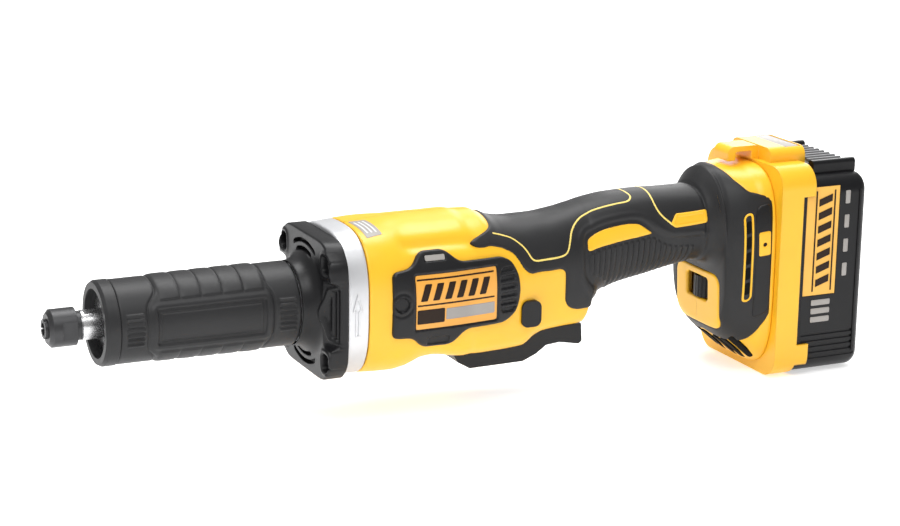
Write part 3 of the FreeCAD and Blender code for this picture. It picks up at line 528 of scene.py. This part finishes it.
ARROW = [(143.6, 10.8), (146.5, 1.6), (144.9, 1.6), (144.9, -11.0), (142.3, -11.0), (142.3, 1.6),
         (140.7, 1.6)]
for side, word in ((-1, "left"), (1, "right")):
    patch("shell_" + word, shell_area, shell_rise, -2.6, YELLOW, X_START, X_END, (0.3, 0.9), 2, side, 0.07,
          slot="yellow_plastic", stands=["housing_" + word])
    patch("field_ring_" + word, lambda x, v, y, z: np.minimum(x - 138.95, 149.7 - x), lambda x, v, y, z, d:
          -0.9 + 0.9 * dome(d, 1.0), -3.0, SILVER, X_START, 151, (0.25, 1.0), 2, side, 0.0,
          slot="silver_alloy", stands=["field_ring"] if side < 0 else [])
    patch("ring_arrow_" + word, lambda x, v, y, z: 0.5 - np.abs(area(x, z, ARROW, 0.4) - 0.5),
          proud(0.02, 0.55, 0.35), -0.3, SILVER, 138, 149, (0.2,), 1, side, slot="silver_alloy")
    patch("softgrip_" + word, rubber_area, rubber_rise, -2.4, RUBBER, 204, X_END, (0.25, 0.7, 1.5), 1, side,
          0.05, slot="black_rubber", stands=["overmould_" + word])
    patch("stripe_front_" + word, lambda x, v, y, z: line(x, v, STRIPE_A, 1.15), proud(-0.1, 0.12, 0.5),
          -0.6, PALE, 218, 309, (0.25,), 1, side, 0.05, slot="yellow_plastic")
    patch("stripe_rear_" + word, lambda x, v, y, z: line(x, v, STRIPE_B, 1.15), proud(-0.1, 0.12, 0.5),
          -0.6, PALE, 312, 328, (0.25,), 1, side, 0.05, slot="yellow_plastic")
    patch("grip_tab_" + word, lambda x, v, y, z: area(x, v, TAB, 1.2),
          lambda x, v, y, z, d: -0.1 + 0.6 * dome(d, 0.9) - 0.35 * ease(1.5, 1.9, d), -0.6, YELLOW, 321,
          347, (0.3, 0.9, 1.5, 1.9), 1, side, slot="yellow_plastic")
    patch("grip_window_" + word, lambda x, v, y, z: area(x, v, WINDOW, 2.0), proud(-0.95, -0.4, 0.9), -1.4,
          YELLOW, 273, 316, (0.3, 0.9), 1, side, slot="yellow_plastic")

looks = {part["node"]: SLOTS[part["material_slot"]] for part in frame["record"]["subparts"]}
looks.update(pack_case=CASE, pack_front=CASE, cells=WRAP, pack_labels=LABEL, nose_ring=GRIP, collet=OXIDE)
for name, shape in frame["nodes"].items():
    shape.data.materials.clear()
    shape.data.materials.append(looks[name])

# ---------------------------------------------------------------- side covers and labels

def cover_area(x, v, y, z):
    return area(x, z, COVER, 3.2)


def louvre(x, z):
    return np.minimum(block(x, z, 219.6, 229.6, -8.6, 15.4, 4.5), 231.5 - x)


def cover_rise(x, v, y, z, d):
    well = block(x, z, 172.4, 218.6, -11.0, 16.6, 1.0)
    rise = 0.1 + 1.75 * dome(d, 1.7) - 0.9 * ease(0.0, 0.7, well)
    fins = 0.5 - 0.5 * np.cos(2 * math.pi * (z - 3.4) / 3.9)
    rise = rise - 1.1 * ease(0.0, 0.6, louvre(x, z)) * ease(0.25, 0.6, fins)
    tabs = np.maximum(block(x, z, 179.4, 191.0, 21.0, 24.6, 1.0),
                      block(x, z, 180.0, 192.0, -18.6, -14.4, 1.0))
    rise = rise - 0.8 * ease(0.0, 0.6, tabs)
    boss = np.hypot(x - 166.0, z - 3.0)
    return rise - 1.3 * (1 - ease(3.4, 3.8, boss)) - 0.5 * np.exp(-((boss - 5.6) / 0.6) ** 2)


for side, word in ((-1, "left"), (1, "right")):
    patch("cover_" + word, cover_area, cover_rise, -0.3, BLACK, 160, 234, (0.3, 0.9, 1.7), 1, side,
          slot="black_plastic", stands=["side_cover_" + word])
    patch("label_" + word, lambda x, v, y, z: block(x, z, 173.4, 217.8, -10.2, 15.8, 0.6), 1.12, 0.6, AMBER,
          172, 219, (), 2, side, slot="amber_label", stands=["badge_plates"] if side < 0 else [])
    for k, (z0, z1) in enumerate(((13.3, 14.1), (1.2, 2.0))):
        patch("label_rule_%d_%s" % (k, word), lambda x, v, y, z: block(x, z, 174.0, 216.4, z0, z1, 0.2), 1.2,
              1.0, INK, 173, 218, (), 1, side, slot="amber_label")
    patch("label_box_" + word, lambda x, v, y, z: block(x, z, 174.0, 188.6, -7.6, -0.6, 0.3), 1.22, 1.0, INK,
          173, 190, (), 1, side, slot="amber_label")
    patch("label_band_" + word, lambda x, v, y, z: block(x, z, 189.4, 216.4, -6.6, -1.0, 0.3), 1.2, 1.0, FILM,
          188, 218, (), 1, side, slot="amber_label")
    for k in range(6):
        patch("label_bar_%d_%s" % (k, word),
              lambda x, v, y, z:
              block(x - 0.35 * (z - 7.5), z, 177.0 + 6.4 * k, 180.6 + 6.4 * k, 3.6, 11.6, 0.3),
              1.22, 1.0, INK, 173, 218, (), 1, side, slot="amber_label")
    patch("cover_tab_" + word, lambda x, v, y, z: block(x, z, 180.0, 190.4, 21.6, 24.0, 0.6), 1.5, 0.9, FILM,
          178, 193, (), 1, side, slot="grey_plastic")

# ---------------------------------------------------------------- flare details

for side, name in ((-1, "dial_panel"), (1, "dial_panel_far")):
    patch(name, lambda x, v, y, z: np.minimum(panel_area(x, y, z), -dial_window(x, y, z)),
          proud(-0.6, 0.35, 1.2), -1.5, YELLOW, 345, 358, (0.3, 0.8, 1.2), 1, side,
          slot="yellow_plastic")


def slot_strip(x, v):
    return 2.55 - np.hypot(x - 363.3, np.maximum(np.abs(v - 63.6) - 20.8, 0))


patch("vent_rim", lambda x, v, y, z: 0.55 - np.abs(slot_strip(x, v) - 0.55), lambda x, v, y, z, d:
      0.1 + 0.25 * dome(d, 0.4), -0.4, YELLOW, 359, 367, (0.25,), 1, -1, slot="yellow_plastic")
# Painted shade: five thin near-black sheets on the flare stand in for the shaded openings of the vent slits.
for k in range(5):
    patch("vent_slit_%d" % k,
          lambda x, v, y, z: block(x, v, 362.0, 364.6, 44.3 + 8.1 * k, 50.7 + 8.1 * k, 0.8), 0.08, -0.4,
          SLOT_SHADE, 359, 367, (), 1, -1, slot="black_plastic")
MODULE = [(366.9, 44.0), (368.4, 38.4), (376.0, 38.4), (376.0, 96.0), (366.9, 98.0)]
CHIP = [(368.3, 51.9), (375.0, 52.6), (375.2, 65.3), (368.6, 64.6)]
patch("module_panel",
      lambda x, v, y, z: area(x, v, MODULE, 3.0),
      lambda x, v, y, z, d: 0.0 + 0.55 * dome(d, 1.2), -0.4, BLACK, 365, 378, (0.3, 1.2), 1, -1,
      slot="black_plastic", stands=["module_cover"])
patch("module_chip",
      lambda x, v, y, z: np.minimum(area(x, v, CHIP, 1.2), np.hypot(x - 371.8, v - 59.0) - 1.0),
      lambda x, v, y, z, d: 0.5 + 0.45 * dome(d, 0.6), 0.2, YELLOW, 366, 378, (0.3,), 1, -1,
      slot="yellow_plastic")
patch("module_dot", lambda x, v, y, z: 1.0 - np.hypot(x - 371.8, v - 59.0), 0.75, 0.2, INK, 366, 378, (), 1,
      -1, slot="black_plastic")

for side, word in ((-1, "left"), (1, "right")):
    # Painted shade: thin near-black sheets under the flare stand in for the shaded openings of three belly
    # vents on each side.
    for k in range(3):
        patch("belly_vent_%d_%s" % (k, word),
              lambda x, v, y, z: np.minimum(
                  block(x, y, 360.5, 375.0, 3.0 + 7.6 * k, 8.0 + 7.6 * k, 1.6), -30.0 - z),
              proud(-0.15, 0.1, 0.5), -0.9, SLOT_SHADE, 358, 377, (0.3,), 1, side, slot="black_plastic")
top_label = [(151.6, 2.0), (159.8, 3.4), (162.0, 21.0), (153.4, 22.4)]
patch("ridge_label", lambda x, v, y, z: area(x, v, top_label, 0.8), 0.14, -0.1, FILM, 150, 164, (), 1, -1,
      slot="grey_plastic")
for k in range(3):
    patch("ridge_mark_%d" % k,
          lambda x, v, y, z: block(x - 0.12 * v, v, 152.4 + 2.2 * k, 153.3 + 2.2 * k, 5.0, 19.0, 0.2), 0.2,
          0.05, WHITE_INK, 150, 164, (), 1, -1, slot="grey_plastic")

# ---------------------------------------------------------------- nose grip and exhaust flange

def rings(name, loops, look, **more):
    """A closed ring-shaped piece from loops of points, each joined to the next and the last to the first."""
    loops = np.asarray(loops, float)
    m, n = loops.shape[:2]
    k = np.arange(m * n).reshape(m, n)
    a, b = k, np.roll(k, -1, axis=0)
    c, d = np.roll(b, -1, axis=1), np.roll(a, -1, axis=1)
    faces = np.stack([a, b, c, d], axis=-1).reshape(-1, 4)
    return add(name, loops.reshape(-1, 3), faces.tolist(), look, **more)


def grip_radius(x, s):
    """Radius of the rubber sleeve at x and at distance s round it from the side line."""
    up = np.abs(s)
    r = 20.2 + 0.5 * ease(31.4, 120.5, x)
    edge = np.maximum(line(x, up, [(44.6, -5), (44.6, 11), (50.2, 18.5), (50.2, 40)], 0.0),
                      line(x, up, [(107.0, -5), (107.0, 10), (104.0, 17.0), (104.0, 40)], 0.0))
    r = r - 0.55 * np.exp(-(edge / 0.55) ** 2)
    well = block(x, s, 49.6, 103.2, -9.3, 9.3, 1.2)
    r = r + 0.35 * np.exp(-((well + 1.6) / 1.3) ** 2) - 1.1 * ease(-0.3, 0.5, well)
    r = r + 0.3 * np.exp(-((well - 2.2) / 0.35) ** 2)
    pad = np.abs((x - 51.2) / 10.4 - np.floor((x - 51.2) / 10.4) - 0.5)
    field = np.minimum(ease(50.8, 51.6, x), 1 - ease(102.6, 103.4, x)) * ease(13.2, 14.2, up)
    r = r + field * (0.75 * np.sqrt(np.clip(1 - (2 * pad) ** 4, 0, 1)) - 0.15)
    for x0, x1 in ((34.2, 43.2), (109.4, 118.4)):
        zone = ease(0.0, 0.8, block(x, s, x0, x1, -8.6, 8.6, 0.5))
        r = r + zone * 0.42 * np.cos(2 * math.pi * s / 2.6)
    return r - 1.2 * (1 - dome(np.minimum(x - 31.3, 120.6 - x), 1.3))


turn = np.linspace(0, 2 * math.pi, 360, endpoint=False)
lean = np.arcsin(np.sin(turn))
loops = []
for x in np.linspace(31.45, 120.5, 300):
    r = grip_radius(x, 20.5 * lean)
    loops.append(np.column_stack([np.full(360, x), r * np.cos(turn), r * np.sin(turn)]))
for x in (120.5, 31.45):
    loops.append(np.column_stack([np.full(360, x), 18.2 * np.cos(turn), 18.2 * np.sin(turn)]))
rings("nose_sleeve", loops, GRIP, slot="black_rubber", stands=["nose_grip"])


def flange_front(y, z):
    """X of the flange's front face over (y, z)."""
    r = np.hypot(y, z)
    side = np.abs(y)
    front = 120.7 + 9.0 * np.sqrt(np.clip(1 - ((27.8 - np.clip(r, 20.8, 27.8)) / 7.0) ** 2, 0, 1))
    rim = np.minimum(np.minimum(34.4 - side, 34.6 - np.abs(z)), (59.4 - side - np.abs(z)) / 1.414)
    pocket = 4.5 - (np.abs(side - 27.4) ** 3 + np.abs(np.abs(z) - 24.2) ** 3) ** (1 / 3)
    pocket = np.minimum(pocket, rim - 1.2)
    front = front + 5.0 * ease(0.0, 0.9, pocket) - 0.6 * np.exp(-((pocket + 1.2) / 0.9) ** 2)
    front = front + 0.62 * np.maximum(side - 24.5, 0) * ease(17.5, 14.0, np.abs(z))
    gill = area(side, z,
                [(25.2, 1.2), (28.4, 11.4), (33.2, 13.2), (33.2, -13.2), (28.4, -11.4), (25.2, -1.2)], 0.8)
    slots = sum(np.exp(-((side - at) / 0.75) ** 6) for at in (27.2, 29.7, 32.0))
    front = front + (0.8 + 2.6 * slots) * ease(0.0, 0.6, gill) - 0.8 * np.exp(-((gill + 1.0) / 0.8) ** 2)
    for radius, half in ((30.0, 13.0), (25.9, 8.5)):
        arc = 1.15 - np.hypot(r - radius, np.maximum(side - half, 0))
        front = front + 3.0 * ease(0.0, 0.5, arc)
    return front


def flange_edge(a):
    c, s = np.abs(np.cos(a)) + 1e-9, np.abs(np.sin(a)) + 1e-9
    return ((c / 34.4) ** 22 + (s / 34.6) ** 22 + ((c + s) / 59.4) ** 22) ** (-1 / 22)


turn = np.linspace(0, 2 * math.pi, 720, endpoint=False)
edge = flange_edge(turn)
loops = []
for t in np.linspace(0, 1, 110):
    r = 20.9 + (edge - 20.9 - 0.9) * t
    y, z = r * np.cos(turn), r * np.sin(turn)
    loops.append(np.column_stack([np.minimum(flange_front(y, z), 137.8), y, z]))
rim = loops[-1][:, 0]
for k, out in ((0.3, 0.63), (0.9, 1.0)):
    r = edge - 0.9 + 0.9 * out
    loops.append(np.column_stack([np.minimum(rim + k, 138.6), r * np.cos(turn), r * np.sin(turn)]))
loops.append(np.column_stack([np.full(720, 138.85), edge * np.cos(turn), edge * np.sin(turn)]))
loops.append(np.column_stack([np.full(720, 138.85), 20.9 * np.cos(turn) * 0.99, 20.9 * np.sin(turn) * 0.99]))
loops.append(np.column_stack([np.full(720, 120.75), 20.9 * np.cos(turn) * 0.99, 20.9 * np.sin(turn) * 0.99]))
rings("flange", loops, BLACK, slot="black_plastic", stands=["exhaust_flange"])


def screw(name, centre, axis, r, **more):
    """A cap screw head with a hexagon socket, facing back along axis."""
    a = np.linspace(0, 2 * math.pi, 48, endpoint=False)
    hexagon = np.cos(math.pi / 6) / np.cos((a % (math.pi / 3)) - math.pi / 6)
    forward = np.array(axis, float)
    across = np.array([forward[1], forward[0], 0.0])
    upward = np.cross(forward, across)
    profile = [(4.0, r, 0), (0.35, r, 0), (0.0, r - 0.35, 0), (0.0, 0.56 * r, 1), (0.1, 0.52 * r, 1),
               (2.0, 0.5 * r, 1), (2.1, 0.01, 0), (4.0, 0.01, 0)]
    loops = []
    for depth, radius, six in profile:
        rr = (radius * (hexagon if six else 1.0 + 0 * a))[:, None]
        spin = rr * (np.cos(a)[:, None] * across + np.sin(a)[:, None] * upward)
        loops.append(np.array(centre, float) + depth * forward + spin)
    return rings(name, loops, **more)


for k, (y, z) in enumerate(((-27.4, -24.2), (-27.4, 24.2), (27.4, -24.2), (27.4, 24.2))):
    screw("flange_screw_%d" % k, (131.8, y, z), (1, 0, 0), 2.7, look=OXIDE, slot="black_oxide",
          stands=["nose_screws"] if k == 0 else [])
HOUSING_SCREWS = ((236.0, 6.0), (283.0, 27.0), (271.0, -13.0), (333.0, 30.0), (333.0, 7.0), (365.0, -30.0))
for k, (x, z) in enumerate(HOUSING_SCREWS):
    row = int(np.searchsorted(SKIN.x, x))
    y = float(np.interp(-z, -SKIN.place[row, ::-1, 2], SKIN.place[row, ::-1, 1]))
    screw("housing_screw_%d" % k, (x, y + 0.15, z), (0, -1, 0), 3.0, look=OXIDE, slot="black_oxide",
          stands=["housing_screws"] if k == 0 else [])


# ---------------------------------------------------------------- foot and pack trim

def slab(name, outline, axis, lo, hi, look, bevel=0.0, body="tool", slot=None):
    """A flat outline drawn on the two other axes and pulled along one, with eased edges."""
    order = {"x": (2, 0, 1), "y": (0, 2, 1), "z": (0, 1, 2)}[axis]
    n = len(outline)
    verts = []
    for level in (lo, hi):
        for p in outline:
            raw = (p[0], p[1], level)
            verts.append([raw[order.index(k)] for k in range(3)])
    work = bmesh.new()
    vs = [work.verts.new(v) for v in verts]
    work.faces.new(vs[:n][::-1])
    work.faces.new(vs[n:])
    for k in range(n):
        work.faces.new((vs[k], vs[(k + 1) % n], vs[n + (k + 1) % n], vs[n + k]))
    if bevel:
        pull = order.index(2)
        rim = [e for e in work.edges if abs(e.verts[0].co[pull] - e.verts[1].co[pull]) < 1e-6]
        bmesh.ops.bevel(work, geom=rim, offset=bevel, segments=3, affect="EDGES", profile=0.5)
    work.verts.index_update()
    out = [tuple(v.co) for v in work.verts]
    faces = [[v.index for v in f.verts] for f in work.faces]
    work.free()
    return add(name, out, faces, look, body=body, slot=slot)


def oblong(x0, x1, z0, z1, r):
    return [tuple(p) for p in rounded([(x0, z0), (x1, z0), (x1, z1), (x0, z1)], r)]


slab("crest_plate", oblong(393.2, 401.6, -14.8, 14.8, 1.4), "z", 58.3, 59.15, FILM, 0.2, slot="grey_plastic")
for side, word in ((-1, "left"), (1, "right")):
    y0, y1 = sorted((side * 35.48, side * 35.72))
    slab("pack_rule_a_" + word, oblong(400.3, 401.1, -15.0, 39.0, 0.2), "y", y0, y1, INK, 0.0, "pack",
         "amber_label")
    slab("pack_rule_b_" + word, oblong(411.6, 412.4, -15.0, 39.0, 0.2), "y", y0, y1, INK, 0.0, "pack",
         "amber_label")
    for k in range(7):
        z = -12.6 + 7.2 * k
        mark = [(402.4, z), (410.4, z + 2.6), (410.4, z + 6.4), (402.4, z + 3.8)]
        slab("pack_mark_%d_%s" % (k, word), mark, "y", y0, y1, INK, 0.0, "pack", "amber_label")
    y0, y1 = sorted((side * 35.4, side * 35.85))
    for k in range(3):
        slab("pack_level_%d_%s" % (k, word), oblong(400.4, 412.0, -22.6 - 4.6 * k, -19.6 - 4.6 * k, 0.6),
             "y", y0, y1, FILM, 0.1, "pack", "grey_plastic")
    for k in range(4):
        slab("pack_dash_%d_%s" % (k, word), oblong(418.6, 421.4, 31.0 - 13.0 * k, 38.0 - 13.0 * k, 0.5),
             "y", y0, y1, FILM, 0.1, "pack", "grey_plastic")
    y0, y1 = sorted((side * 35.3, side * 36.1))
    slab("pack_edge_" + word, oblong(427.2, 428.4, -50.0, 38.0, 0.4), "y", y0, y1, CASE, 0.3, "pack",
         "black_plastic")

# ---------------------------------------------------------------- light, floor and camera

low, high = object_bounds()
floor = bpy.data.meshes.new("floor")
floor.from_pydata([(-6, -6, 0), (6, -6, 0), (6, 6, 0), (-6, 6, 0)], [], [(0, 1, 2, 3)])
floor.materials.append(WHITE)
ground = bpy.data.objects.new("floor", floor)
ground.location = (0, 0, low[2] - 0.0005)
bpy.context.scene.collection.objects.link(ground)

world = bpy.data.worlds.new("studio")
world.use_nodes = True
world.node_tree.nodes["Background"].inputs[0].default_value = (1.0, 1.0, 1.0, 1.0)
world.node_tree.nodes["Background"].inputs[1].default_value = 0.42
bpy.context.scene.world = world


def lamp(name, place, target, power, width, height):
    light = bpy.data.lights.new(name, "AREA")
    light.shape = "RECTANGLE"
    light.size = width
    light.size_y = height
    light.energy = power
    holder = bpy.data.objects.new(name, light)
    holder.location = place
    holder.rotation_euler = (Vector(target) - Vector(place)).to_track_quat("-Z", "Y").to_euler()
    bpy.context.scene.collection.objects.link(holder)


centre = (0.22, 0.0, 0.0)
lamp("key", (-0.10, -0.55, 0.95), centre, 7.0, 0.8, 0.5)
lamp("top", (0.35, 0.30, 1.0), centre, 11.0, 0.9, 0.5)
lamp("rim", (0.9, 0.7, 0.4), centre, 3.5, 0.5, 0.8)

FOCAL_MM = 91.02016
EYE = (-0.26082, -0.99389, 0.29999)
camera = bpy.data.cameras.new("camera")
camera.sensor_width = 36.0
camera.lens = FOCAL_MM
camera.clip_start = 0.05
eye = bpy.data.objects.new("camera", camera)
right = Vector((0.905906, -0.423272, 0.013274))
up = Vector((0.096012, 0.235815, 0.967044))
away = Vector((0.412452, 0.874776, -0.254265))
eye.matrix_world = Matrix((
    (right.x, up.x, -away.x, EYE[0]),
    (right.y, up.y, -away.y, EYE[1]),
    (right.z, up.z, -away.z, EYE[2]),
    (0, 0, 0, 1)))
bpy.context.scene.collection.objects.link(eye)
bpy.context.scene.camera = eye
bpy.context.scene.view_settings.view_transform = "Standard"
